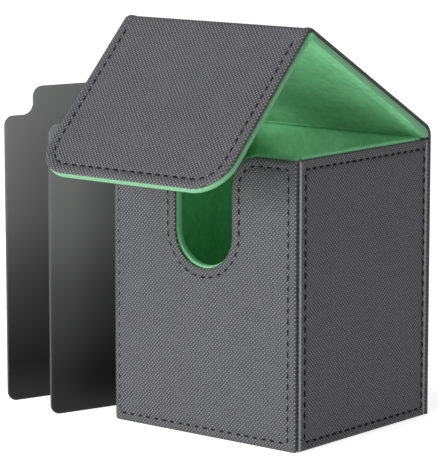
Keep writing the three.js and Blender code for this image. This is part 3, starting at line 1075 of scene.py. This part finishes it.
# ---- Dividers ----------------------------------------------------------------------------------
def divider_outline(width, shoulder):
    """A card-sized sheet with rounded corners, stepping up through two soft bends to a tab."""
    r, t, quarter = DIVIDER_CORNER_RADIUS, DIVIDER_TAB_RADIUS, math.pi / 2
    top = shoulder + DIVIDER_TAB_RISE
    left, right = DIVIDER_TAB_INSET, width - DIVIDER_TAB_INSET
    plain = (False, False)
    return joined(
        arc((r, r), r, 2 * quarter, 3 * quarter),
        edge((r, 0), (width - r, 0), plain),
        arc((width - r, r), r, 3 * quarter, 4 * quarter),
        edge((width, r), (width, shoulder - r), plain),
        arc((width - r, shoulder - r), r, 0, quarter),
        edge((width - r, shoulder), (right + t, shoulder), plain),
        arc((right + t, shoulder + t), t, 3 * quarter, 2 * quarter),
        edge((right, shoulder + t), (right, top - t), plain),
        arc((right - t, top - t), t, 0, quarter),
        edge((right - t, top), (left + t, top), plain),
        arc((left + t, top - t), t, quarter, 2 * quarter),
        edge((left, top - t), (left, shoulder + t), plain),
        arc((left - t, shoulder + t), t, 0, -quarter),
        edge((left - t, shoulder), (r, shoulder), plain),
        arc((r, shoulder - r), r, quarter, 2 * quarter),
        edge((0, shoulder - r), (0, r), plain),
    )


def divider(name):
    """A die-cut plastic sheet: its outline carried through a small round on each edge."""
    lowest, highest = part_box(name)
    along = np.array([math.sin(DIVIDER_TURN), math.cos(DIVIDER_TURN)])
    across = np.array([along[1], -along[0]])
    half = DIVIDER_THICKNESS / 2
    width = (highest.y - lowest.y - DIVIDER_THICKNESS * along[0]) / along[1]
    foot = np.array([lowest.x, lowest.y]) + half * along[::-1]
    soft = DIVIDER_EDGE_ROUND
    angle = np.linspace(0, math.pi / 2, 5)
    inset = np.concatenate([
        [DIVIDER_BAND], soft - soft * np.sin(angle), soft - soft * np.cos(angle), [DIVIDER_BAND],
    ])
    rise = np.concatenate([
        [-half], soft * (1 - np.cos(angle)) - half, half - soft + soft * np.sin(angle), [half],
    ])
    points, way = divider_outline(width, highest.z - DIVIDER_TAB_RISE)
    flat = points[:, None] + inset[None, :, None] * way[:, None]
    u, v = flat[..., 0], flat[..., 1]
    plan = foot + u[..., None] * along + rise[None, :, None] * across
    placed = np.dstack([plan, v]).reshape(-1, 3)
    # The cut edge, which takes the plastic's painted shade.
    rim = np.broadcast_to(inset < soft / 2, u.shape)
    piece = ringed_piece(f"{name}_sheet", placed, flat, PLASTIC, rim)
    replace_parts(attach(piece, name), name)


# ---- Making ------------------------------------------------------------------------------------
leather_wall("front", "front", notched, 11)
leather_wall("left", "left", rectangle, 12)
leather_wall("right", "right", rectangle, 13)
leather_wall("back", "back", rectangle)
leather_wall("base", "down", rectangle)
lined_wall("front", "front", notched, FRONT_EDGE_SHADE)
lined_wall("left", "left", rectangle)
lined_wall("right", "right", rectangle)
lined_wall("back", "back", rectangle)
lined_wall("base", "down", rectangle)
back_and_lid_leather()
flap_leather()
lid_suede()
flap_suede()
strap_stitches()
divider("left_divider")
divider("right_divider")

# The boards and the magnets are the frame's own meshes. All the others have been replaced.
for name, node in frame["nodes"].items():
    node.data.materials.clear()
    node.data.materials.append(NICKEL if "magnet" in name else BOARD)


# ---- Studio ------------------------------------------------------------------------------------
FLOOR_HALF = 30.0
LAMP_DISTANCE = 1.1
LAMP_SIZE = 0.7
BOX_MIDDLE = (0, 0, 0.06)


def floor():
    """A wide pale sheet on which everything stands."""
    half = FLOOR_HALF
    mesh = bpy.data.meshes.new("floor")
    corners = [(-half, -half, 0), (half, -half, 0), (half, half, 0), (-half, half, 0)]
    mesh.from_pydata(corners, [], [(0, 1, 2, 3)])
    mesh.materials.append(pale_floor())
    sheet = bpy.data.objects.new("floor", mesh)
    bpy.context.scene.collection.objects.link(sheet)


def aimed(name, data, target, azimuth, elevation, distance):
    """Stands a lamp or a camera off from a place and turns it to face there: azimuth 0 is in
    front, and 90 on the right."""
    a, e = math.radians(azimuth), math.radians(elevation)
    way = Vector((math.sin(a) * math.cos(e), -math.cos(a) * math.cos(e), math.sin(e)))
    holder = bpy.data.objects.new(name, data)
    holder.location = Vector(target) + way * distance
    holder.rotation_mode = "QUATERNION"
    holder.rotation_quaternion = way.to_track_quat("Z", "Y")
    bpy.context.scene.collection.objects.link(holder)
    return holder


def lamp(name, azimuth, elevation, power):
    """A soft square light, aimed at the middle of the box."""
    light = bpy.data.lights.new(name, "AREA")
    light.shape, light.size, light.energy = "SQUARE", LAMP_SIZE, power
    aimed(name, light, BOX_MIDDLE, azimuth, elevation, LAMP_DISTANCE)


def camera():
    """A long lens, a little above the box and to its right."""
    lens = bpy.data.cameras.new("camera")
    lens.lens, lens.sensor_width = 214.96, 36
    lens.clip_start, lens.clip_end = 0.01, 100
    target = (-0.02333, 0, 0.06495)
    bpy.context.scene.camera = aimed(
        "camera", lens, target, azimuth=39.62, elevation=9.23, distance=0.9629
    )


def surroundings(level):
    """Even white light from all round."""
    world = bpy.data.worlds.new("studio")
    world.use_nodes = True
    sky = world.node_tree.nodes["Background"]
    sky.inputs["Color"].default_value = (1, 1, 1, 1)
    sky.inputs["Strength"].default_value = level
    bpy.context.scene.world = world


floor()
camera()
lamp("key", azimuth=-10, elevation=1.5, power=27.5)
lamp("overhead", azimuth=-10, elevation=60, power=4.5)
surroundings(level=0.575)
bpy.context.scene.view_settings.view_transform = "Standard"
